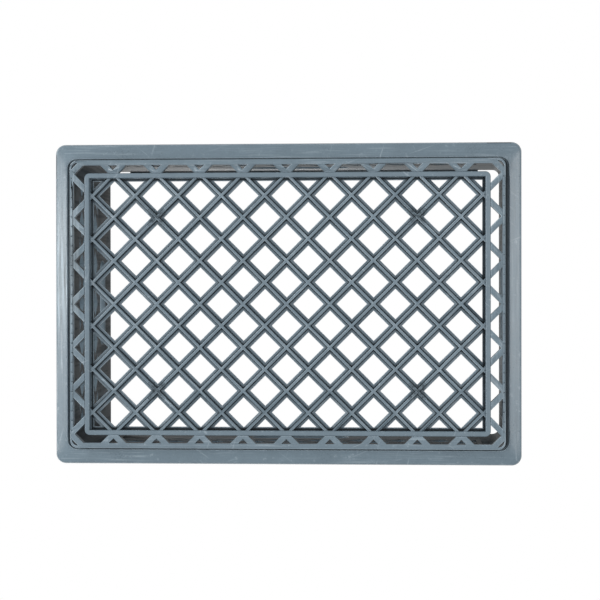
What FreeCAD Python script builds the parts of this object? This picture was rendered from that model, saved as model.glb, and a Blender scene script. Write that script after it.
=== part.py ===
"""Milk crate: a one-piece moulded plastic box, open at the top, with a lattice floor.

Millimetres.  +Z is up and +X runs along the length.  The origin is at the middle of the
underside, in the plane that the foot stands on.  The real crate is one moulding.  Here it
is divided along its own edges into named regions that meet face to face.
"""
import FreeCAD, Part
import math
import os

Vec = FreeCAD.Vector

# ---------------------------------------------------------------- overall size
length = 480.0                 # outside, along X
width = 330.0                  # outside, along Y
height = 280.0                 # foot to rim
corner_radius = 10.0           # outside vertical corners

# ---------------------------------------------------------------- walls
wall_depth = 10.2              # inner face to outermost face
skin = 2.6                     # sheet thickness of a wall
web = 2.2                      # thickness of the upright webs
belt = 2.8                     # thickness of the level belts round the crate
inner_corner_radius = 8.0      # upright corners of the cavity
post_arm = 35.0                # reach of a corner post along each wall, from outside

# ---------------------------------------------------------------- levels, from the foot
foot_height = 8.0              # foot to the shoulder's inner lip
shoulder_rise = 1.8            # climb of the shoulder, from its lip outwards
edge_round = 1.8               # rounding between shoulder and wall
sill_top = 50.0                # top of the smooth bottom band
window_bottom = 80.0           # lower edge of the open lattice
rim_height = 8.0               # solid rail round the top
rim_lip = 3.6                  # long rails stand in from the wall, between the corner posts

# ---------------------------------------------------------------- foot
foot_inset_x = 16.5            # foot's side to the crate's outside, short walls
foot_inset_y = 16.8            # the same, long walls
foot_draft = 0.4               # slope of the foot's side over its height
foot_wall_x = 1.5              # thickness of the foot's side, short walls
foot_wall_y = 2.4              # the same, long walls
foot_corner_radius = 7.7
groove_x = 3.8                 # width of the groove between foot and shoulder, short walls
groove_y = 1.9                 # the same, long walls
groove_depth = 2.5
groove_slope = 0.6             # lean of the groove's outer side
lip_land = 1.0                 # flat top of the shoulder's lip
strut_gap_x = 3.3              # struts' outer end to the foot's edge, short walls
strut_gap_y = 5.2              # the same, long walls
strut_corner_radius = 6.0
strut_width = 5.8
strut_height = 10.0

# ---------------------------------------------------------------- stiffening ring
ring_inset_x = 31.6            # ring's outer face to the crate's outside, short walls
ring_inset_y = 30.1            # the same, long walls
ring_width = 5.2
ring_corner_radius = 5.5
ring_round = 1.1

# ---------------------------------------------------------------- floor lattice
lattice_pitch = 44.63          # crossing to crossing, along X and along Y
floor_top = 12.0               # level of the inside floor
deck_thickness = 3.0
deck_bar_width = 9.6
deck_margin = 3.0              # solid strip of the deck beside the ring
floor_rib_width = 2.5          # at the ribs' lower edge
floor_rib_draft = 0.55         # how much each side of a rib leans out towards the deck
floor_rib_recess = 3.0         # ribs stop short of the foot's plane
gate_step_x = 3                # crossings from the middle to a moulding gate
gate_step_y = 2
gate_dish_radius = 12.0        # round each gate the ribs are cut back
gate_dish_depth = 2.4
gate_stub_radius = 1.4
gate_stub_height = 1.2
gate_stub_root = 1.0           # how far the stub reaches into the ribs

# ---------------------------------------------------------------- wall lattice
window_clear = 5.0             # lattice's upper edge to the lip of the hand-hole
window_pitch = 44.0            # widest pitch, crossing to crossing
window_bar_width = 7.0
window_bar_thickness = 3.6
window_margin = 5.0            # solid frame round the lattice
window_rib_width = 2.6
window_rib_height = 4.0

# ---------------------------------------------------------------- hand-holes
grip_width_long = 110.0        # in the long walls
grip_width_short = 96.0        # in the short walls
grip_height = 34.0
grip_drop = 38.0               # rim top to the hand-hole's upper edge
grip_corner_radius = 13.0
grip_lip = 3.0                 # thickness of the lip round the hand-hole

# ---------------------------------------------------------------- pits along the foot's ends
pit_pitch = 10.0
pit_inset = 1.8                # middle of a pit to the foot's edge
pit_length = 1.6
pit_width = 1.2
pit_depth = 1.0

# ---------------------------------------------------------------- derived
half_x = length / 2
half_y = width / 2
inner_x = half_x - wall_depth
inner_y = half_y - wall_depth
ring_x = half_x - ring_inset_x
ring_y = half_y - ring_inset_y
foot_x = half_x - foot_inset_x
foot_y = half_y - foot_inset_y
frame_x = foot_x - foot_wall_x
frame_y = foot_y - foot_wall_y
frame_radius = foot_corner_radius - foot_wall_x
strut_x = foot_x - strut_gap_x
strut_y = foot_y - strut_gap_y
lip_x = foot_x + groove_x
lip_y = foot_y + groove_y
groove_level = foot_height + groove_depth
ledge_top = groove_level + skin    # inside ledge above the groove
panel_x = half_x - post_arm    # half length of the panels in the long walls
panel_y = half_y - post_arm
rim_bottom = height - rim_height
window_top = height - grip_drop - grip_height - grip_lip - window_clear
band_bottom = window_top + belt
pad_level = floor_top - deck_thickness

WALLS = [
    {"name": "front", "inner": inner_y, "half": panel_x, "turn": 0, "grip": grip_width_long},
    {"name": "back", "inner": inner_y, "half": panel_x, "turn": 180, "grip": grip_width_long},
    {"name": "right", "inner": inner_x, "half": panel_y, "turn": 90, "grip": grip_width_short},
    {"name": "left", "inner": inner_x, "half": panel_y, "turn": -90, "grip": grip_width_short},
]
CORNERS = [("front_right", 1, -1), ("back_right", 1, 1), ("back_left", -1, 1), ("front_left", -1, -1)]


# ---------------------------------------------------------------- helpers
def block(x0, x1, y0, y1, z0, z1):
    """Box between two opposite corners."""
    return Part.makeBox(x1 - x0, y1 - y0, z1 - z0, Vec(x0, y0, z0))


def rounded_outline(hx, hy, radius, z):
    """Closed wire: a rectangle of half sizes hx, hy with round corners, at level z."""
    edges = []
    centres = [(1, 1, 0), (-1, 1, 90), (-1, -1, 180), (1, -1, 270)]
    points = []
    for sx, sy, start in centres:
        middle = Vec(sx * (hx - radius), sy * (hy - radius), z)
        arc = [middle + Vec(radius * math.cos(math.radians(start + a)),
                            radius * math.sin(math.radians(start + a)), 0) for a in (0, 45, 90)]
        points.append(arc)
    for i, arc in enumerate(points):
        edges.append(Part.Arc(*arc).toShape())
        edges.append(Part.LineSegment(arc[2], points[(i + 1) % 4][0]).toShape())
    return Part.Wire(edges)


def rounded_block(hx, hy, radius, z0, z1):
    """Upright prism on a rounded outline."""
    return Part.Face(rounded_outline(hx, hy, radius, z0)).extrude(Vec(0, 0, z1 - z0))


def lattice_holes(hx, hy, pitch_x, pitch_y, bar, z0, z1, odd=1):
    """The openings of a diagonal lattice that reach into a rectangle centred on the origin.

    Bars cross at the origin when odd is 1; an opening is centred there when odd is 0.
    Each opening is a parallelogram whose sides are set back by half a bar from the
    centre lines of the bars around it.
    """
    side = math.hypot(pitch_x, pitch_y)
    reach_x = pitch_x / 2 - bar * side / (2 * pitch_y)
    reach_y = pitch_y / 2 - bar * side / (2 * pitch_x)
    holes = []
    count_x = int(hx / (pitch_x / 2)) + 2
    count_y = int(hy / (pitch_y / 2)) + 2
    for i in range(-count_x, count_x + 1):
        for j in range(-count_y, count_y + 1):
            if (i + j) % 2 != odd:
                continue
            cx = i * pitch_x / 2
            cy = j * pitch_y / 2
            if abs(cx) - reach_x > hx or abs(cy) - reach_y > hy:
                continue
            corners = [Vec(cx + reach_x, cy, z0), Vec(cx, cy + reach_y, z0),
                       Vec(cx - reach_x, cy, z0), Vec(cx, cy - reach_y, z0)]
            holes.append(Part.Face(Part.makePolygon(corners + corners[:1])).extrude(Vec(0, 0, z1 - z0)))
    return holes


def on_wall(shape, wall):
    """Stand a panel drawn flat (X along the wall, Y up, Z outward) on its wall."""
    placed = shape.copy()
    placed.rotate(Vec(0, 0, 0), Vec(1, 0, 0), 90)
    placed.translate(Vec(0, -wall["inner"], 0))
    placed.rotate(Vec(0, 0, 0), Vec(0, 0, 1), wall["turn"])
    return placed


def corner_square(sx, sy, x0, y0, z0, z1):
    """The block outside x0, y0 at one corner of the crate."""
    xs = sorted((sx * x0, sx * (half_x + 1)))
    ys = sorted((sy * y0, sy * (half_y + 1)))
    return block(xs[0], xs[1], ys[0], ys[1], z0, z1)


def side_block(name, x0, y0, x1, y1, z0, z1):
    """The block in front of one wall: beyond x0 or y0, and within x1 or y1 across."""
    if name == "front":
        return block(-x1, x1, -half_y - 1, -y0, z0, z1)
    if name == "back":
        return block(-x1, x1, y0, half_y + 1, z0, z1)
    if name == "left":
        return block(-half_x - 1, -x0, -y1, y1, z0, z1)
    return block(x0, half_x + 1, -y1, y1, z0, z1)


def save(name, shape):
    """Write one node, after merging faces that lie in one surface."""
    clean = shape.removeSplitter()
    if not clean.isValid() or not clean.Solids:
        raise ValueError("bad solid in " + name)
    clean.exportStep(os.path.join("parts", name + ".step"))


# ---------------------------------------------------------------- floor and foot
def rib_cells(hx, hy):
    """Square cells between the floor ribs, turned 45 degrees and narrowing towards the deck."""
    across = lattice_pitch / math.sqrt(2)
    wide = (across - floor_rib_width) / 2
    narrow = wide - floor_rib_draft
    low, high = floor_rib_recess, pad_level
    cell = Part.makeWedge(-wide, low, -wide, -narrow, -narrow, wide, high, wide, narrow, narrow)
    cell.rotate(Vec(0, 0, 0), Vec(1, 0, 0), 90)
    cell.rotate(Vec(0, 0, 0), Vec(0, 0, 1), 45)
    reach = wide * math.sqrt(2)
    half_pitch = lattice_pitch / 2
    count_x = int(hx / half_pitch) + 2
    count_y = int(hy / half_pitch) + 2
    cells = []
    for i in range(-count_x, count_x + 1):
        for j in range(-count_y, count_y + 1):
            beyond = abs(i) * half_pitch - reach > hx or abs(j) * half_pitch - reach > hy
            if (i + j) % 2 == 1 and not beyond:
                one = cell.copy()
                one.translate(Vec(i * half_pitch, j * half_pitch, 0))
                cells.append(one)
    return cells


def floor_ribs():
    """Upright ribs of the floor lattice, between the ring's rails, dished round four gates."""
    hx = ring_x - ring_width
    hy = ring_y - ring_width
    body = block(-hx, hx, -hy, hy, floor_rib_recess, pad_level)
    ribs = body.cut(Part.makeCompound(rib_cells(hx, hy)))
    dish_top = floor_rib_recess + gate_dish_depth
    for sx in (-1, 1):
        for sy in (-1, 1):
            gate = Vec(sx * gate_step_x * lattice_pitch, sy * gate_step_y * lattice_pitch, 0)
            ribs = ribs.cut(Part.makeCylinder(gate_dish_radius, dish_top, gate))
            stub = Part.makeCylinder(gate_stub_radius, gate_stub_height + gate_stub_root, gate)
            stub.translate(Vec(0, 0, dish_top - gate_stub_height))
            ribs = ribs.fuse(stub)
    return ribs


def floor_deck():
    """Flat bars that form the inside floor, joined by a strip beside the ring."""
    hx = ring_x - ring_width
    hy = ring_y - ring_width
    body = block(-hx, hx, -hy, hy, pad_level, floor_top)
    holes = lattice_holes(hx, hy, lattice_pitch, lattice_pitch, deck_bar_width, 0, floor_top + 1)
    in_x = hx - deck_margin
    in_y = hy - deck_margin
    field = block(-in_x, in_x, -in_y, in_y, 0, floor_top + 1)
    return body.cut(Part.makeCompound(holes).common(field))


def stiffening_ring():
    """Raised rail round the floor lattice: round corners outside, square inside."""
    outside = rounded_block(ring_x, ring_y, ring_corner_radius, 0, floor_top)
    hx = ring_x - ring_width
    hy = ring_y - ring_width
    ring = outside.cut(block(-hx, hx, -hy, hy, -1, floor_top + 1))
    low = [e for e in ring.Edges if e.BoundBox.ZMax < 0.01]
    return ring.makeFillet(ring_round, low)


def brace_pocket(sx, sy):
    """Everything beyond the bar that cuts off one corner of the foot frame."""
    bar = lattice_pitch * math.floor((strut_x + strut_y) / lattice_pitch)
    line = bar + strut_width / math.sqrt(2)
    corners = [Vec(sx * (line - half_y), sy * half_y, -1), Vec(sx * half_x, sy * half_y, -1),
               Vec(sx * half_x, sy * (line - half_x), -1)]
    return Part.Face(Part.makePolygon(corners + corners[:1])).extrude(Vec(0, 0, strut_height + 2))


def foot_frame():
    """Struts that carry the lattice on from the ring to the foot's side."""
    low, high = -1, strut_height + 1
    body = rounded_block(frame_x, frame_y, frame_radius, 0, strut_height)
    body = body.cut(rounded_block(ring_x, ring_y, ring_corner_radius, low, high))
    holes = lattice_holes(strut_x, strut_y, lattice_pitch, lattice_pitch, strut_width, low, high)
    field = rounded_block(strut_x, strut_y, strut_corner_radius, low, high)
    body = body.cut(Part.makeCompound(holes).common(field))
    return body.cut([brace_pocket(sx, sy) for name, sx, sy in CORNERS])


def sill():
    """Foot's side, groove, shoulder and smooth bottom band, as one ring round the crate."""
    shoulder_top = foot_height + shoulder_rise
    wall_level = shoulder_top + edge_round
    radius = foot_corner_radius
    foot_low = rounded_outline(foot_x, foot_y, radius, 0)
    foot_high = rounded_outline(foot_x + foot_draft, foot_y + foot_draft, radius, groove_level)
    foot = Part.makeLoft([foot_low, foot_high], True, True)
    lip_radius = radius + groove_y
    lip = rounded_outline(lip_x, lip_y, lip_radius, foot_height)
    land = rounded_outline(lip_x + lip_land, lip_y + lip_land, lip_radius + lip_land, foot_height)
    turn = edge_round * (1 - math.sqrt(0.5))
    skirt = [land,
             rounded_outline(half_x - edge_round, half_y - edge_round, corner_radius - 1, shoulder_top),
             rounded_outline(half_x - turn, half_y - turn, corner_radius - turn, shoulder_top + turn),
             rounded_outline(half_x, half_y, corner_radius, wall_level)]
    body = Part.makeLoft(skirt, True, True)
    body = body.fuse(rounded_block(half_x, half_y, corner_radius, wall_level, sill_top))
    groove_top = rounded_outline(lip_x - groove_slope, lip_y - groove_slope, lip_radius - groove_slope,
                                 groove_level)
    groove = Part.makeLoft([lip, groove_top], True, True)
    body = body.cut(groove).fuse(foot)
    body = body.cut(rounded_block(frame_x, frame_y, frame_radius, -1, ledge_top + 1))
    return body.cut(rounded_block(inner_x, inner_y, inner_corner_radius, ledge_top, sill_top + 1))


def sill_pockets(wall):
    """Pockets between the two skins of the bottom band, parted by upright webs."""
    return web_bays(wall, ledge_top, sill_top + 1, skin, wall_depth - skin)


def web_bays(wall, z0, z1, depth0, depth1):
    """Blocks that fill the spaces between evenly spaced webs along one wall's panel."""
    bays = max(2, round(2 * wall["half"] / lattice_pitch))
    step = 2 * wall["half"] / bays
    shapes = []
    for i in range(bays):
        u0 = -wall["half"] + i * step + web / 2
        shapes.append(block(u0, u0 + step - web, z0, z1, depth0, depth1))
    return [on_wall(s, wall) for s in shapes]


def end_pits(sx):
    """Row of small pits along the face of one short end of the foot."""
    count = int(panel_y / pit_pitch)
    middle = sx * (foot_x - pit_inset)
    pits = []
    for i in range(-count, count + 1):
        y = i * pit_pitch
        pits.append(block(middle - pit_length / 2, middle + pit_length / 2,
                          y - pit_width / 2, y + pit_width / 2, -1, pit_depth))
    return pits


# ---------------------------------------------------------------- walls
def lower_panel(wall):
    """Closed panel above the bottom band, with upright webs and a belt on top."""
    half = wall["half"]
    body = block(-half, half, sill_top, window_bottom, 0, wall_depth)
    panel = on_wall(body, wall)
    return panel.cut(web_bays(wall, sill_top - 1, window_bottom - belt, skin, wall_depth + 1))


def lattice_panel(wall):
    """Open diagonal lattice: flat bars inside, ribs outside, and a belt at mid height."""
    half = wall["half"]
    middle = (window_bottom + window_top) / 2
    rows = window_top - window_bottom
    hx = half - window_margin
    columns = round(2 * half / window_pitch)
    tiers = round(rows / window_pitch)
    pitch_x = 2 * half / columns
    pitch_y = rows / tiers
    odd = 1 - (columns + tiers) % 2
    body = block(-half, half, -rows / 2, rows / 2, 0, window_bar_thickness)
    hy = rows / 2 - window_margin
    holes = lattice_holes(hx, hy, pitch_x, pitch_y, window_bar_width, -1, wall_depth, odd)
    field = block(-hx, hx, -hy, hy, -1, wall_depth)
    plate = body.cut(Part.makeCompound(holes).common(field))
    rib_top = window_bar_thickness + window_rib_height
    bars = block(-half, half, -rows / 2, rows / 2, window_bar_thickness, rib_top)
    thin = lattice_holes(hx, rows / 2, pitch_x, pitch_y, window_rib_width, -1, wall_depth, odd)
    ribs = bars.cut(Part.makeCompound(thin))
    mid_belt = block(-half, half, -belt / 2, belt / 2, window_bar_thickness, wall_depth)
    panel = plate.fuse([ribs, mid_belt])
    panel.translate(Vec(0, middle, 0))
    return on_wall(panel, wall)


def grip_panel(wall):
    """Closed band under the rim with its hand-hole, the hole's lip, webs and a belt below."""
    half = wall["half"]
    grip_top = height - grip_drop
    centre = grip_top - grip_height / 2
    body = block(-half, half, window_top, rim_bottom, 0, wall_depth)
    panel = on_wall(body, wall)
    lip = rounded_block(wall["grip"] / 2 + grip_lip, grip_height / 2 + grip_lip,
                        grip_corner_radius + grip_lip, 0, wall_depth)
    lip.translate(Vec(0, centre, 0))
    panel = panel.cut(web_bays(wall, band_bottom, rim_bottom - belt, skin, wall_depth + 1))
    panel = panel.fuse(on_wall(lip, wall))
    hole = rounded_block(wall["grip"] / 2, grip_height / 2, grip_corner_radius, -1, wall_depth + 1)
    hole.translate(Vec(0, centre, 0))
    return panel.cut(on_wall(hole, wall))


def shell(z0, z1):
    """Full-depth ring of wall between two levels."""
    outside = rounded_block(half_x, half_y, corner_radius, z0, z1)
    return outside.cut(rounded_block(inner_x, inner_y, inner_corner_radius, z0 - 1, z1 + 1))


def corner_post(sx, sy):
    """Upright box-section post with a round outside corner."""
    post = shell(sill_top, rim_bottom).common(corner_square(sx, sy, panel_x, panel_y, sill_top, rim_bottom))
    low, high = sill_top - 1, rim_bottom + 1
    core = rounded_block(half_x - skin, half_y - skin, corner_radius - skin, low, high)
    core = core.cut(rounded_block(inner_x + skin, inner_y + skin, inner_corner_radius, low - 1, high + 1))
    core = core.common(corner_square(sx, sy, panel_x + skin, panel_y + skin, low, high))
    return post.cut(core)


def rim():
    """Solid rail round the mouth, rounded along its top edges."""
    ring = shell(rim_bottom, height)
    top = [e for e in ring.Edges if e.BoundBox.ZMin > height - 0.01]
    return ring.makeFillet(edge_round / 2, top)


def lip_along(side):
    """Lip that stands in from one long rail; side is -1 at the front and 1 at the back."""
    ys = sorted((side * (inner_y - rim_lip), side * (inner_y + wall_depth / 2)))
    return block(-panel_x, panel_x, ys[0], ys[1], rim_bottom, height - edge_round)


# ---------------------------------------------------------------- build
def main():
    os.makedirs("parts", exist_ok=True)
    save("floor_ribs", floor_ribs())
    save("floor_deck", floor_deck())

    ring = stiffening_ring()
    frame = foot_frame()
    base = sill()
    pits = end_pits(1) + end_pits(-1)
    top = rim()
    inside_x = ring_x - ring_width
    inside_y = ring_y - ring_width
    for wall in WALLS:
        name = wall["name"]
        if name in ("front", "back"):
            reach_x, reach_y = ring_x, inside_y
        else:
            reach_x, reach_y = inside_x, inside_y
        low, high = -1, height + 1
        rail = ring.common(side_block(name, inside_x, inside_y, reach_x, reach_y, low, high))
        save("ring_rail_" + name, rail)
        struts = frame.common(side_block(name, ring_x, ring_y, ring_x, ring_y, low, high))
        if name in ("left", "right"):
            struts = struts.cut(pits)
        save("foot_frame_" + name, struts)
        side = base.common(side_block(name, frame_x - 1, frame_y - 1, panel_x, panel_y, low, high))
        side = side.cut(sill_pockets(wall))
        if name in ("left", "right"):
            side = side.cut(pits)
        save("sill_" + name, side)
        save("lower_panel_" + name, lower_panel(wall))
        save("lattice_panel_" + name, lattice_panel(wall))
        save("grip_panel_" + name, grip_panel(wall))
        rail = top.common(side_block(name, inner_x - 1, inner_y - 1, panel_x, panel_y, low, high))
        if name in ("front", "back"):
            rail = rail.fuse(lip_along(-1 if name == "front" else 1)).removeSplitter()
        save("rim_" + name, rail)
    for name, sx, sy in CORNERS:
        save("foot_brace_" + name, frame.common(corner_square(sx, sy, ring_x, ring_y, -1, floor_top)))
        save("sill_corner_" + name, base.common(corner_square(sx, sy, panel_x, panel_y, -1, sill_top)))
        save("corner_post_" + name, corner_post(sx, sy))
        save("rim_corner_" + name, top.common(corner_square(sx, sy, panel_x, panel_y, rim_bottom, height)))


main()
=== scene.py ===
"""Looks of a one-piece moulded milk crate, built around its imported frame.  Metres, +Z up.

Every region of the moulding keeps its CAD shape.  A merged copy with rounded free edges stands
for each node, and the finishes are procedural.  The crate is seen from below, foot towards the
camera.
"""
import math

import bmesh
import bpy
import numpy as np
from mathutils import Matrix, Vector
from mathutils.bvhtree import BVHTree


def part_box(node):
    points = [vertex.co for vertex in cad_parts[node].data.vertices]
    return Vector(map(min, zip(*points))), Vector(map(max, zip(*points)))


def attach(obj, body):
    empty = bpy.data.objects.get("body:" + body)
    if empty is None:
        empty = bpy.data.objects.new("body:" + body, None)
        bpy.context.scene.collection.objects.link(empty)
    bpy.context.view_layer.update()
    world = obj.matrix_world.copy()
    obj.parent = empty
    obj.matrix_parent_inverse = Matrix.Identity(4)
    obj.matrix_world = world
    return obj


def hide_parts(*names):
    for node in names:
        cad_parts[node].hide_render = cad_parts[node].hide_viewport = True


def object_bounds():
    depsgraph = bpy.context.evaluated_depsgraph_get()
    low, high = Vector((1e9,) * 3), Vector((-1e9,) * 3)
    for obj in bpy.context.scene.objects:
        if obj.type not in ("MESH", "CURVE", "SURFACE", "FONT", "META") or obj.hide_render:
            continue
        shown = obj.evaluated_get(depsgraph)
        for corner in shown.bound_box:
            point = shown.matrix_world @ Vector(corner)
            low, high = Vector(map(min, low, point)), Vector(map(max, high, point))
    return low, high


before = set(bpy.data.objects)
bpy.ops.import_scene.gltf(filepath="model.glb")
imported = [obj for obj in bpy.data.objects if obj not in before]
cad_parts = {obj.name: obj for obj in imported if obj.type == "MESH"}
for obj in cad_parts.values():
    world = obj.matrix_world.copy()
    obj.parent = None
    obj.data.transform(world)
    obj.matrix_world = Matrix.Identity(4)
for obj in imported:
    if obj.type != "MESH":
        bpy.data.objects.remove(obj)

cad_low, cad_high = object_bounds()

# ------------------------------------------------------------------ sizes taken from the frame
OUT_X = cad_high[0]
OUT_Y = cad_high[1]
RING_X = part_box("ring_rail_front")[1][0]
RING_Y = -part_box("ring_rail_front")[0][1]
RING_WIDTH = RING_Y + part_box("ring_rail_front")[1][1]
FRAME_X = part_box("foot_frame_right")[1][0]
FRAME_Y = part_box("foot_frame_back")[1][1]
DECK_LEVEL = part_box("floor_deck")[0][2]

# ------------------------------------------------------------------ sizes of the finish
LATTICE_PITCH = 0.04463     # crossing to crossing, along X and along Y
GATE_X = 3 * LATTICE_PITCH  # moulding gates, each on a crossing of the lattice
GATE_Y = 2 * LATTICE_PITCH
RIB_HALF = 0.0018           # half thickness of a floor rib where it meets the deck
FOOT_X = FRAME_X + 0.0015   # outside of the foot's face
FOOT_Y = FRAME_Y + 0.0024
FOOT_RADIUS = 0.0077
GROOVE_X = 0.0038           # width of the groove between foot and shoulder
GROOVE_Y = 0.0019
SHOULDER_LEVEL = 0.017      # where the shoulder's outer edge turns up into the wall
CORNER_RADIUS = 0.010       # upright corners of the walls
WALL_DEPTH = 0.0102         # outside of the wall to its inside

# ------------------------------------------------------------------ camera
CAMERA_PLACE = (0.13156, -0.01512, -1.78496)
CAMERA_TURN = (0.0656, 0.0061, -0.0012)   # small turns about the picture's upright, level and depth axes
LENS = 105.0
SENSOR = 36.0


def camera_axes(yaw, pitch, roll):
    """Right, down and forward axes of a camera that looks up along +Z with -Y at the picture's top."""
    cy, sy = math.cos(yaw), math.sin(yaw)
    cp, sp = math.cos(pitch), math.sin(pitch)
    cr, sr = math.cos(roll), math.sin(roll)
    about_y = np.array([[cy, 0, sy], [0, 1, 0], [-sy, 0, cy]])
    about_x = np.array([[1, 0, 0], [0, cp, -sp], [0, sp, cp]])
    about_z = np.array([[cr, -sr, 0], [sr, cr, 0], [0, 0, 1]])
    return about_z @ about_x @ about_y


def make_camera():
    right, down, ahead = camera_axes(*CAMERA_TURN)
    data = bpy.data.cameras.new("camera")
    data.lens = LENS
    data.sensor_width = SENSOR
    data.clip_end = 50
    camera = bpy.data.objects.new("camera", data)
    pose = Matrix.Identity(4)
    for i in range(3):
        pose[i][0], pose[i][1], pose[i][2] = right[i], -down[i], -ahead[i]
    pose.translation = Vector(CAMERA_PLACE)
    camera.matrix_world = pose
    bpy.context.scene.collection.objects.link(camera)
    bpy.context.scene.camera = camera


# ------------------------------------------------------------------ node helpers
class Tree:
    """Short forms for adding and joining nodes in one node tree."""

    def __init__(self, node_tree):
        self.tree = node_tree

    def add(self, kind, **settings):
        node = self.tree.nodes.new(kind)
        for name, value in settings.items():
            setattr(node, name, value)
        return node

    def join(self, source, target):
        self.tree.links.new(source, target)

    def feed(self, socket, value):
        """Join a socket to a socket, or set its value."""
        if isinstance(value, bpy.types.NodeSocket):
            self.join(value, socket)
        else:
            socket.default_value = value

    def math(self, operation, a, b=0.0, clamp=False):
        node = self.add("ShaderNodeMath", operation=operation, use_clamp=clamp)
        self.feed(node.inputs[0], a)
        self.feed(node.inputs[1], b)
        return node.outputs[0]

    def times(self, first, *others):
        """Product of two or more values."""
        product = first
        for value in others:
            product = self.math("MULTIPLY", product, value)
        return product

    def ramp(self, value, start, end, low=0.0, high=1.0):
        """Smooth step of a value between two limits."""
        node = self.add("ShaderNodeMapRange", interpolation_type="SMOOTHSTEP")
        for socket, v in zip(node.inputs, (value, start, end, low, high)):
            self.feed(socket, v)
        return node.outputs[0]

    def mix(self, factor, a, b):
        node = self.add("ShaderNodeMix", data_type="RGBA")
        self.feed(node.inputs["Factor"], factor)
        self.feed(node.inputs[6], a)
        self.feed(node.inputs[7], b)
        return node.outputs[2]

    def noise(self, vector, scale, detail=3.0, roughness=0.55, stretch=(1, 1, 1)):
        mapping = self.add("ShaderNodeMapping")
        self.join(vector, mapping.inputs["Vector"])
        mapping.inputs["Scale"].default_value = stretch
        node = self.add("ShaderNodeTexNoise")
        self.join(mapping.outputs[0], node.inputs["Vector"])
        node.inputs["Scale"].default_value = scale
        node.inputs["Detail"].default_value = detail
        node.inputs["Roughness"].default_value = roughness
        return node.outputs["Fac"]

    def xyz(self, vector):
        node = self.add("ShaderNodeSeparateXYZ")
        self.join(vector, node.inputs[0])
        return node.outputs


def new_group(name, inputs, outputs):
    """Empty shader node group with named sockets; returns its tree, input node and output node."""
    group = bpy.data.node_groups.new(name, "ShaderNodeTree")
    for label, kind, value in inputs:
        socket = group.interface.new_socket(label, in_out="INPUT", socket_type=kind)
        if value is not None:
            socket.default_value = value
    for label, kind in outputs:
        group.interface.new_socket(label, in_out="OUTPUT", socket_type=kind)
    tree = Tree(group)
    return tree, tree.add("NodeGroupInput").outputs, tree.add("NodeGroupOutput").inputs


def use_group(tree, name, **values):
    """Place a node group in a material and set or join its inputs."""
    node = tree.add("ShaderNodeGroup")
    node.node_tree = bpy.data.node_groups[name]
    for label, value in values.items():
        tree.feed(node.inputs[label.replace("_", " ")], value)
    return node.outputs


FLOAT = "NodeSocketFloat"
VECTOR = "NodeSocketVector"


# ------------------------------------------------------------------ shared effects
def make_rounded_distance():
    """Signed distance, in plan, to a rectangle with round corners: positive outside it."""
    tree, given, result = new_group("distance_to_outline", [
        ("Position", VECTOR, None), ("Half X", FLOAT, 0.2), ("Half Y", FLOAT, 0.1),
        ("Radius", FLOAT, 0.01)], [("Distance", FLOAT)])
    x, y, z = tree.xyz(given["Position"])
    over = []
    for axis, half in ((x, "Half X"), (y, "Half Y")):
        straight = tree.math("SUBTRACT", given[half], given["Radius"])
        over.append(tree.math("SUBTRACT", tree.math("ABSOLUTE", axis), straight))
    outside = [tree.math("MAXIMUM", v, 0.0) for v in over]
    squares = [tree.times(v, v) for v in outside]
    length = tree.math("SQRT", tree.math("ADD", *squares))
    inside = tree.math("MINIMUM", tree.math("MAXIMUM", *over), 0.0)
    signed = tree.math("SUBTRACT", tree.math("ADD", length, inside), given["Radius"])
    tree.join(signed, result["Distance"])


def make_lattice_distance():
    """Distance from the nearest centre line of the diagonal floor lattice, and from its crossings."""
    tree, given, result = new_group("distance_to_lattice", [
        ("Position", VECTOR, None), ("Pitch", FLOAT, LATTICE_PITCH)],
        [("Distance", FLOAT), ("Crossing", FLOAT)])
    x, y, z = tree.xyz(given["Position"])
    away = []
    for operation in ("ADD", "SUBTRACT"):
        cells = tree.math("DIVIDE", tree.math(operation, x, y), given["Pitch"])
        nearest = tree.math("ROUND", cells)
        off = tree.math("ABSOLUTE", tree.math("SUBTRACT", cells, nearest))
        away.append(tree.times(off, given["Pitch"], math.sqrt(0.5)))
    tree.join(tree.math("MINIMUM", *away), result["Distance"])
    tree.join(tree.math("MAXIMUM", *away), result["Crossing"])


def make_grain():
    """Skin of the moulding: large soft mottling, fine speckle, and a fine bump height."""
    tree, given, result = new_group("moulded_grain", [
        ("Position", VECTOR, None), ("Mottle", FLOAT, 0.5), ("Speckle", FLOAT, 0.5)],
        [("Shade", FLOAT), ("Height", FLOAT)])
    broad = tree.noise(given["Position"], 38.0, 4.0)
    fine = tree.noise(given["Position"], 620.0, 2.0, 0.7)
    broad_part = tree.times(tree.math("SUBTRACT", broad, 0.5), given["Mottle"])
    fine_part = tree.times(tree.math("SUBTRACT", fine, 0.5), given["Speckle"])
    tree.join(tree.math("ADD", broad_part, fine_part), result["Shade"])
    tree.join(tree.math("ADD", tree.times(broad, 0.35), fine), result["Height"])


def make_streaks():
    """Rubbing marks along one direction: thin bright lines broken up along their length."""
    tree, given, result = new_group("rubbed_streaks", [
        ("Position", VECTOR, None), ("Amount", FLOAT, 0.5)], [("Along X", FLOAT), ("Along Y", FLOAT)])
    for label, stretch in (("Along X", (0.035, 1.0, 0.3)), ("Along Y", (1.0, 0.035, 0.3))):
        lines = tree.noise(given["Position"], 520.0, 3.0, 0.6, stretch)
        gentle = tuple(0.4 + 0.6 * (v > 0.2) for v in stretch)
        patches = tree.noise(given["Position"], 26.0, 2.0, 0.5, gentle)
        sharp = tree.ramp(lines, 0.5, 0.72)
        cover = tree.ramp(patches, 0.38, 0.62)
        tree.join(tree.times(sharp, cover, given["Amount"]), result[label])


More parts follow.
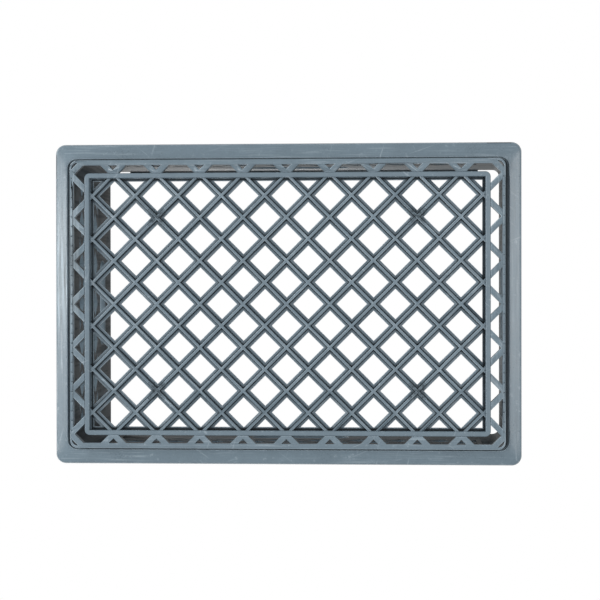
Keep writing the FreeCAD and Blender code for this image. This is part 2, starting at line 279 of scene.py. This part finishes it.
def make_scuffs():
    """Scratches at all angles and small rubbed spots."""
    tree, given, result = new_group("scuffs", [
        ("Position", VECTOR, None), ("Amount", FLOAT, 0.5)], [("Mask", FLOAT)])
    total = None
    for angle in (0.35, 1.3, 2.5):
        mapping = tree.add("ShaderNodeMapping")
        tree.join(given["Position"], mapping.inputs["Vector"])
        mapping.inputs["Rotation"].default_value = (0, 0, angle)
        lines = tree.noise(mapping.outputs[0], 420.0, 2.0, 0.5, (0.05, 1.0, 0.2))
        line = tree.ramp(lines, 0.66, 0.74)
        total = line if total is None else tree.math("MAXIMUM", total, line)
    spots = tree.ramp(tree.noise(given["Position"], 150.0, 3.0, 0.7), 0.60, 0.72)
    patches = tree.ramp(tree.noise(given["Position"], 17.0, 2.0), 0.45, 0.65)
    both = tree.math("MAXIMUM", tree.times(total, patches), tree.times(spots, 0.7))
    tree.join(tree.times(both, given["Amount"]), result["Mask"])


def make_groups():
    make_rounded_distance()
    make_lattice_distance()
    make_grain()
    make_streaks()
    make_scuffs()


# ------------------------------------------------------------------ finishes
BLUE_GREY = (0.160, 0.214, 0.253, 1)   # the plastic itself
PALE_WEAR_AND_SHEEN = (0.270, 0.330, 0.368, 1)        # abraded -X shoulder, paler also as a painted highlight
WORN_EDGE_AND_HIGHLIGHT = (0.300, 0.370, 0.420, 1)        # rounded edges: abraded, and lighter as a painted edge highlight
RUBBED = (0.470, 0.550, 0.600, 1)      # scratches and streaks
GRIME_AND_CREASE_SHADE = (0.018, 0.020, 0.022, 1)       # painted shade in creases, and the stain round the gates
DARK_INNER_SHADE = (0.010, 0.010, 0.011, 1)        # painted shade inside the walls, in streaks
WARM_INNER_SHADE = (0.188, 0.180, 0.170, 1)        # painted warm shade, dull, inside the walls

GATE_STAIN_CORE = 0.0075    # the stain round a gate is full up to here, and gone at its edge
GATE_STAIN_EDGE = 0.0125
WEAR_AND_SHEEN_PLACE = -0.043         # Y of the middle of the paler stretch of the -X shoulder: abraded plastic and a painted highlight
WEAR_AND_SHEEN_CORE = 0.015           # half length of the full paler stretch, and where it ends
WEAR_AND_SHEEN_END = 0.105
STREAKS_ELSEWHERE = 0.45    # share of the streaks on the sides outside the paler -X stretch
SPECULAR = 0.5


def gate_stain(tree, position):
    """Uneven dark stain in the dish round each moulding gate."""
    x, y, z = tree.xyz(position)
    off_x = tree.math("SUBTRACT", tree.math("ABSOLUTE", x), GATE_X)
    off_y = tree.math("SUBTRACT", tree.math("ABSOLUTE", y), GATE_Y)
    squares = tree.math("ADD", tree.times(off_x, off_x), tree.times(off_y, off_y))
    near = tree.ramp(tree.math("SQRT", squares), GATE_STAIN_CORE, GATE_STAIN_EDGE, 1.0, 0.0)
    patches = tree.ramp(tree.noise(position, 330.0, 3.0, 0.7), 0.35, 0.65, 0.15, 0.75)
    return tree.times(near, patches)


def floor_creases(tree, position):
    """Painted shade in the angle between floor ribs and deck, and in the angle between deck and ring;
    the stain round each gate is real.
    """
    z = tree.xyz(position)[2]
    lattice = use_group(tree, "distance_to_lattice", Position=position)
    near_rib = tree.ramp(lattice["Distance"], RIB_HALF + 0.0001, RIB_HALF + 0.0010, 1.0, 0.0)
    beside = tree.ramp(lattice["Distance"], RIB_HALF - 0.0010, RIB_HALF - 0.0004)
    deep = tree.ramp(z, DECK_LEVEL - 0.0042, DECK_LEVEL - 0.0010)
    above = tree.ramp(z, DECK_LEVEL + 0.0004, DECK_LEVEL + 0.0012, 1.0, 0.0)
    rib_crease_shade = tree.times(near_rib, beside, deep, above)
    ring = use_group(tree, "distance_to_outline", Position=position, Half_X=RING_X - RING_WIDTH,
                     Half_Y=RING_Y - RING_WIDTH, Radius=0.0003)
    ring_crease_shade = tree.ramp(ring["Distance"], -0.0045, -0.0008)
    below = tree.times(ring_crease_shade, deep, above)
    within = tree.ramp(ring["Distance"], 0.0, 0.0004, 1.0, 0.0)
    # painted shade at the ribs and the ring, joined with the real gate stain
    crease_shade_and_stain = tree.math("MAXIMUM", tree.math("MAXIMUM", rib_crease_shade, below), gate_stain(tree, position))
    return tree.times(crease_shade_and_stain, within)


def distance_to_walls(tree, position):
    """Signed distance, in plan, from the outer skin of the walls."""
    return use_group(tree, "distance_to_outline", Position=position, Half_X=OUT_X, Half_Y=OUT_Y,
                     Radius=CORNER_RADIUS)["Distance"]


def foot_creases(tree, position):
    """Painted shade in the groove between foot and shoulder, and along the outer edge of the shoulder.
    """
    z = tree.xyz(position)[2]
    edge = tree.times(tree.ramp(distance_to_walls(tree, position), -0.0016, -0.0004), 0.7)
    not_wall = tree.ramp(z, SHOULDER_LEVEL, SHOULDER_LEVEL + 0.007, 1.0, 0.0)
    foot = use_group(tree, "distance_to_outline", Position=position, Half_X=FOOT_X, Half_Y=FOOT_Y,
                     Radius=FOOT_RADIUS)
    lip = use_group(tree, "distance_to_outline", Position=position, Half_X=FOOT_X + GROOVE_X,
                    Half_Y=FOOT_Y + GROOVE_Y, Radius=FOOT_RADIUS + GROOVE_Y)
    outside = tree.ramp(foot["Distance"], 0.0, 0.0004)
    inside = tree.ramp(lip["Distance"], -0.0016, -0.0006, 1.0, 0.0)
    low = tree.ramp(z, 0.0010, 0.0060)
    return tree.math("MAXIMUM", tree.times(outside, inside, low), tree.times(edge, not_wall))


def end_masks(tree, position):
    """Mask of the two short sides, up to the mitres, and mask of the paler stretch at the -X end, which
    is abraded plastic and a painted highlight.
    """
    x, y, z = tree.xyz(position)
    lead = tree.math("SUBTRACT", tree.math("ABSOLUTE", x), tree.math("ABSOLUTE", y))
    ends = tree.ramp(lead, OUT_X - OUT_Y - 0.0006, OUT_X - OUT_Y + 0.0006)
    along = tree.math("ABSOLUTE", tree.math("SUBTRACT", y, WEAR_AND_SHEEN_PLACE))
    middle = tree.ramp(along, WEAR_AND_SHEEN_CORE, WEAR_AND_SHEEN_END, 1.0, 0.0)
    at_end = tree.ramp(x, -FOOT_X + 0.0085, -FOOT_X + 0.0105, 1.0, 0.0)
    return ends, tree.times(at_end, middle)


def inner_mask(tree, position):
    """1 inside the walls, 0 on their outer skin."""
    distance = distance_to_walls(tree, position)
    return tree.ramp(distance, -WALL_DEPTH + 0.0004, -WALL_DEPTH + 0.0010, 1.0, 0.0)


def inner_painted_shade(tree, position):
    """Painted shade inside the walls, in streaks; light on the front wall and heavy on the back wall."""
    x, y, z = tree.xyz(position)
    upright = tree.ramp(tree.noise(position, 210.0, 3.0, 0.6, (1.0, 1.0, 0.05)), 0.46, 0.62)
    level = tree.ramp(tree.noise(position, 150.0, 3.0, 0.6, (0.08, 0.08, 1.0)), 0.50, 0.62)
    ends = tree.ramp(tree.math("ABSOLUTE", x), 0.226, 0.228)
    on_ends = tree.times(upright, ends)
    on_sides = tree.times(level, tree.math("SUBTRACT", 1.0, ends))
    behind_front = tree.ramp(y, -0.150, -0.120, 0.0, 0.30)
    at_back = tree.ramp(y, 0.120, 0.150, 0.0, 0.65)
    marks = tree.times(tree.math("ADD", on_ends, on_sides), 0.6)
    cover = tree.math("ADD", marks, tree.math("ADD", behind_front, at_back), clamp=True)
    return tree.times(inner_mask(tree, position), cover)


def make_plastic(name, colour=BLUE_GREY, roughness=0.42, streaks=0.0, scuff=0.4, mottle=0.35,
                 speckle=0.22, creases=None, crease_strength=0.8, crease_colour=GRIME_AND_CREASE_SHADE, inner_shade_tint=0.0):
    """One finish of the moulded plastic; streaks run lengthwise along each side."""
    material = bpy.data.materials.new(name)
    material.use_nodes = True
    tree = Tree(material.node_tree)
    shader = material.node_tree.nodes["Principled BSDF"]
    position = tree.add("ShaderNodeTexCoord").outputs["Object"]
    grain = use_group(tree, "moulded_grain", Position=position, Mottle=mottle, Speckle=speckle)
    rubbed = use_group(tree, "scuffs", Position=position, Amount=scuff)["Mask"]
    base = colour
    lift = tree.math("ADD", 1.0, grain["Shade"])
    if streaks:
        # On the -X end the base turns paler, partly abraded plastic and partly a painted highlight where
        # a reflection falls; the rubbing streaks grow there
        ends, wear_and_sheen = end_masks(tree, position)
        lines = use_group(tree, "rubbed_streaks", Position=position, Amount=streaks)
        on_ends = tree.times(lines["Along Y"], ends, tree.math("ADD", STREAKS_ELSEWHERE, wear_and_sheen))
        sides = tree.math("SUBTRACT", STREAKS_ELSEWHERE, ends, clamp=True)
        on_sides = tree.times(lines["Along X"], sides)
        rubbed = tree.math("MAXIMUM", rubbed, tree.math("MAXIMUM", on_ends, on_sides), clamp=True)
        base = tree.mix(wear_and_sheen, colour, PALE_WEAR_AND_SHEEN)
        # lighter and darker bands drawn along the short sides: painted highlight streaks, strongest on
        # the paler -X stretch
        drawn = tree.math("SUBTRACT", tree.noise(position, 330.0, 4.0, 0.65, (1.0, 0.04, 0.3)), 0.5)
        shade = tree.times(drawn, tree.math("ADD", wear_and_sheen, 0.2), ends, 2.6)
        lift = tree.math("ADD", lift, shade)
    tint = tree.mix(rubbed, base, RUBBED)
    # painted warm shade in patches over the insides of the walls
    if inner_shade_tint:
        patches = tree.ramp(tree.noise(position, 21.0, 4.0, 0.6, (1, 1, 0.25)), 0.25, 0.75, 0.4, 1.0)
        tint = tree.mix(tree.times(patches, inner_mask(tree, position), inner_shade_tint), tint, WARM_INNER_SHADE)
    dull = tree.times(rubbed, -0.08)
    if creases:
        # creases take painted shade (on the floor also the real gate stain): darker, duller and less
        # specular
        crease_shade_and_stain = tree.times(creases(tree, position), crease_strength)
        tint = tree.mix(crease_shade_and_stain, tint, crease_colour)
        dull = tree.math("ADD", dull, tree.times(crease_shade_and_stain, 0.45))
        tree.join(tree.math("SUBTRACT", SPECULAR, tree.times(crease_shade_and_stain, 0.48)),
                  shader.inputs["Specular IOR Level"])
    scaled = tree.add("ShaderNodeVectorMath", operation="SCALE")
    tree.join(tint, scaled.inputs[0])
    tree.join(lift, scaled.inputs["Scale"])
    tree.join(scaled.outputs[0], shader.inputs["Base Color"])
    base_rough = tree.math("ADD", roughness, tree.times(grain["Shade"], 0.35))
    tree.join(tree.math("ADD", base_rough, dull, clamp=True), shader.inputs["Roughness"])
    relief = tree.add("ShaderNodeBump")
    relief.inputs["Strength"].default_value = 0.35
    relief.inputs["Distance"].default_value = 0.0002
    height = tree.math("SUBTRACT", grain["Height"], tree.times(rubbed, 0.8))
    tree.join(height, relief.inputs["Height"])
    tree.join(relief.outputs[0], shader.inputs["Normal"])
    return material


def make_finishes():
    make_groups()
    return {
        "lattice": make_plastic("plastic_floor_lattice", scuff=0.35, creases=floor_creases,
                                crease_strength=0.95),
        "ring": make_plastic("plastic_ring", scuff=0.55, mottle=0.3, roughness=0.36),
        "foot": make_plastic("plastic_foot", streaks=0.8, scuff=0.5, speckle=0.5, roughness=0.36,
                             creases=foot_creases, crease_strength=0.9),
        "side": make_plastic("plastic_side", streaks=1.0, scuff=0.4, speckle=0.30, roughness=0.30,
                             creases=foot_creases, crease_strength=0.88),
        # the insides of the walls get painted shade: a warm dull tint and dark streaks
        "wall": make_plastic("plastic_wall", scuff=0.45, mottle=0.45, inner_shade_tint=0.65, creases=inner_painted_shade,
                             crease_strength=0.42, crease_colour=DARK_INNER_SHADE),
        # rounded edges: abraded plastic, lighter also as a painted edge highlight
        "edge_wear_and_highlight": make_plastic("plastic_edge_wear_and_highlight", colour=WORN_EDGE_AND_HIGHLIGHT, roughness=0.30, scuff=0.6, speckle=0.35),
    }


# ------------------------------------------------------------------ moulded regions
SAME_PLANE = math.radians(0.6)
FREE_EDGE_ANGLE = math.radians(28)   # an edge is sharp from this turn on
FLAT_ANGLE = math.radians(3)         # and already from this one beside a large flat face
FLAT_AREA = 1.5e-4         # faces larger than this count as large, in square metres
PROBE = 0.00015            # how far outside an edge the test for a neighbour looks


class Neighbours:
    """Tells whether a point just outside one region lies inside another."""

    def __init__(self, meshes):
        points, triangles, start = [], [], 0
        for mesh in meshes:
            points += [v.co.copy() for v in mesh.vertices]
            triangles += [tuple(start + i for i in p.vertices) for p in mesh.polygons]
            start += len(mesh.vertices)
        self.tree = BVHTree.FromPolygons(points, triangles)
        self.ray = Vector((0.3141, 0.5772, 0.7537)).normalized()

    def holds(self, point):
        count = 0
        hit = self.tree.ray_cast(point, self.ray)
        while hit[0] is not None:
            count += 1
            hit = self.tree.ray_cast(hit[0] + self.ray * 1e-6, self.ray)
        return count % 2 == 1


def is_free(edge, neighbours):
    """True for a sharp outward edge that no other region covers or continues."""
    if len(edge.link_faces) != 2 or not edge.is_convex or edge.calc_face_angle(0) < FREE_EDGE_ANGLE:
        return False
    middle = (edge.verts[0].co + edge.verts[1].co) / 2
    n1, n2 = (f.normal for f in edge.link_faces)
    probes = (middle + n1 * PROBE - n2 * PROBE / 2, middle + n2 * PROBE - n1 * PROBE / 2,
              middle + (n1 + n2) * PROBE)
    return not any(neighbours.holds(p) for p in probes)


def rounded_copy(node, width, segments, neighbours, material, edge_wear_and_highlight):
    """Merged copy of one region whose free edges are rounded; it stands for the CAD node."""
    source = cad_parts[node]
    shape = bmesh.new()
    shape.from_mesh(source.data)
    bmesh.ops.remove_doubles(shape, verts=shape.verts, dist=1e-6)
    if width:
        bmesh.ops.dissolve_limit(shape, angle_limit=SAME_PLANE, verts=shape.verts, edges=shape.edges)
    shape.normal_update()
    weight = shape.edges.layers.float.new("bevel_weight_edge")
    for edge in shape.edges:
        free = width > 0 and is_free(edge, neighbours)
        edge[weight] = 1.0 if free else 0.0
        beside_flat = max(f.calc_area() for f in edge.link_faces) > FLAT_AREA
        limit = FLAT_ANGLE if beside_flat else FREE_EDGE_ANGLE
        edge.smooth = free or edge.calc_face_angle(0) < limit
    for face in shape.faces:
        face.smooth = True
        face.material_index = 0
    mesh = bpy.data.meshes.new("moulded_" + node)
    shape.to_mesh(mesh)
    shape.free()
    mesh.materials.append(material)
    mesh.materials.append(edge_wear_and_highlight)
    piece = bpy.data.objects.new("moulded_" + node, mesh)
    bpy.context.scene.collection.objects.link(piece)
    if width:
        rounding = piece.modifiers.new("rounded_edges", "BEVEL")
        rounding.width = width
        rounding.segments = segments
        rounding.limit_method = "WEIGHT"
        rounding.use_clamp_overlap = False
        rounding.harden_normals = True
        rounding.miter_outer = "MITER_ARC"
        # the bevel faces take the lighter edge finish: abraded edges with a painted edge highlight
        rounding.material = 1
    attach(piece, "root")
    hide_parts(node)
    return piece


# start of a node's name: finish, rounding radius and segments; 0 leaves the CAD faces as they are
REGIONS = [
    ("floor_ribs", "lattice", 0.00040, 2),
    ("floor_deck", "lattice", 0.00050, 2),
    ("ring_rail", "ring", 0.00050, 2),
    ("foot_frame", "foot", 0.00060, 2),
    ("foot_brace", "foot", 0.00060, 2),
    ("sill", "side", 0.00060, 2),
    ("lattice_panel", "wall", 0, 0),
    ("", "wall", 0.00050, 1),
]


def finish_regions(finishes):
    meshes = [node.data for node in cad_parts.values()]
    neighbours = Neighbours(meshes)
    for name in sorted(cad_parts):
        start, finish, width, segments = next(r for r in REGIONS if name.startswith(r[0]))
        rounded_copy(name, width, segments, neighbours, finishes[finish], finishes["edge_wear_and_highlight"])


# ------------------------------------------------------------------ stage and light
FLOOR_DROP = 0.0003        # the floor lies a hair under the foot
FLOOR_HALF = 12.0          # half the floor's width


def make_floor():
    """Pale floor that only a camera above it sees; light passes through it from below."""
    material = bpy.data.materials.new("pale_floor")
    material.use_nodes = True
    tree = Tree(material.node_tree)
    material.node_tree.nodes.clear()
    out = tree.add("ShaderNodeOutputMaterial")
    matt = tree.add("ShaderNodeBsdfDiffuse")
    matt.inputs["Color"].default_value = (0.80, 0.80, 0.79, 1)
    clear = tree.add("ShaderNodeBsdfTransparent")
    mix = tree.add("ShaderNodeMixShader")
    behind = tree.add("ShaderNodeNewGeometry").outputs["Backfacing"]
    seen = tree.add("ShaderNodeLightPath").outputs["Is Camera Ray"]
    hidden = tree.math("MAXIMUM", behind, tree.math("SUBTRACT", 1.0, seen))
    tree.join(hidden, mix.inputs[0])
    tree.join(matt.outputs[0], mix.inputs[1])
    tree.join(clear.outputs[0], mix.inputs[2])
    tree.join(mix.outputs[0], out.inputs[0])
    mesh = bpy.data.meshes.new("floor")
    corners = [(sx * FLOOR_HALF, sy * FLOOR_HALF) for sx, sy in ((-1, -1), (1, -1), (1, 1), (-1, 1))]
    mesh.from_pydata([(x, y, -FLOOR_DROP) for x, y in corners], [], [(0, 1, 2, 3)])
    mesh.materials.append(material)
    floor = bpy.data.objects.new("floor", mesh)
    bpy.context.scene.collection.objects.link(floor)


def make_world(below, above, side):
    """White to the camera; to the crate, a soft studio that is brightest below it."""
    world = bpy.data.worlds.new("studio")
    world.use_nodes = True
    bpy.context.scene.world = world
    tree = Tree(world.node_tree)
    background = world.node_tree.nodes["Background"]
    direction = tree.add("ShaderNodeTexCoord").outputs["Generated"]
    z = tree.xyz(direction)[2]
    low = tree.ramp(z, -0.9, 0.0, 1.0, 0.0)
    high = tree.ramp(z, 0.0, 0.9)
    tint = tree.mix(high, tree.mix(low, side, below), above)
    seen = tree.add("ShaderNodeLightPath").outputs["Is Camera Ray"]
    tree.join(tree.mix(seen, tint, (1, 1, 1, 1)), background.inputs[0])


def area_light(name, place, aim, size, power, colour=(1, 1, 1)):
    data = bpy.data.lights.new(name, "AREA")
    data.shape = "RECTANGLE"
    data.size, data.size_y = size
    data.energy = power
    data.color = colour
    lamp = bpy.data.objects.new(name, data)
    lamp.location = place
    lamp.rotation_mode = "QUATERNION"
    lamp.rotation_quaternion = (Vector(aim) - Vector(place)).to_track_quat("-Z", "Y")
    lamp.visible_camera = False
    bpy.context.scene.collection.objects.link(lamp)


def make_stage():
    make_floor()
    make_world(below=(0.52, 0.54, 0.56, 1), above=(0.20, 0.19, 0.18, 1), side=(0.42, 0.42, 0.42, 1))
    area_light("key_below_left", (-1.28, -0.06, -1.72), (-0.2, 0, 0), (0.7, 0.35), 9)
    area_light("fill_below_right", (1.02, -0.06, -1.84), (0.2, 0, 0), (0.7, 0.7), 11)
    area_light("rake_left", (-2.1, -0.35, -0.75), (0, 0, 0), (0.9, 0.9), 22)
    area_light("key_above", (-0.9, 1.7, 2.0), (0, 0, 0.1), (1.6, 1.6), 32)
    area_light("fill_above", (-1.4, -1.5, 2.0), (0, 0, 0.1), (1.6, 1.6), 14)
    bpy.context.scene.view_settings.view_transform = "Standard"


# ------------------------------------------------------------------ build
make_camera()
make_stage()
finish_regions(make_finishes())
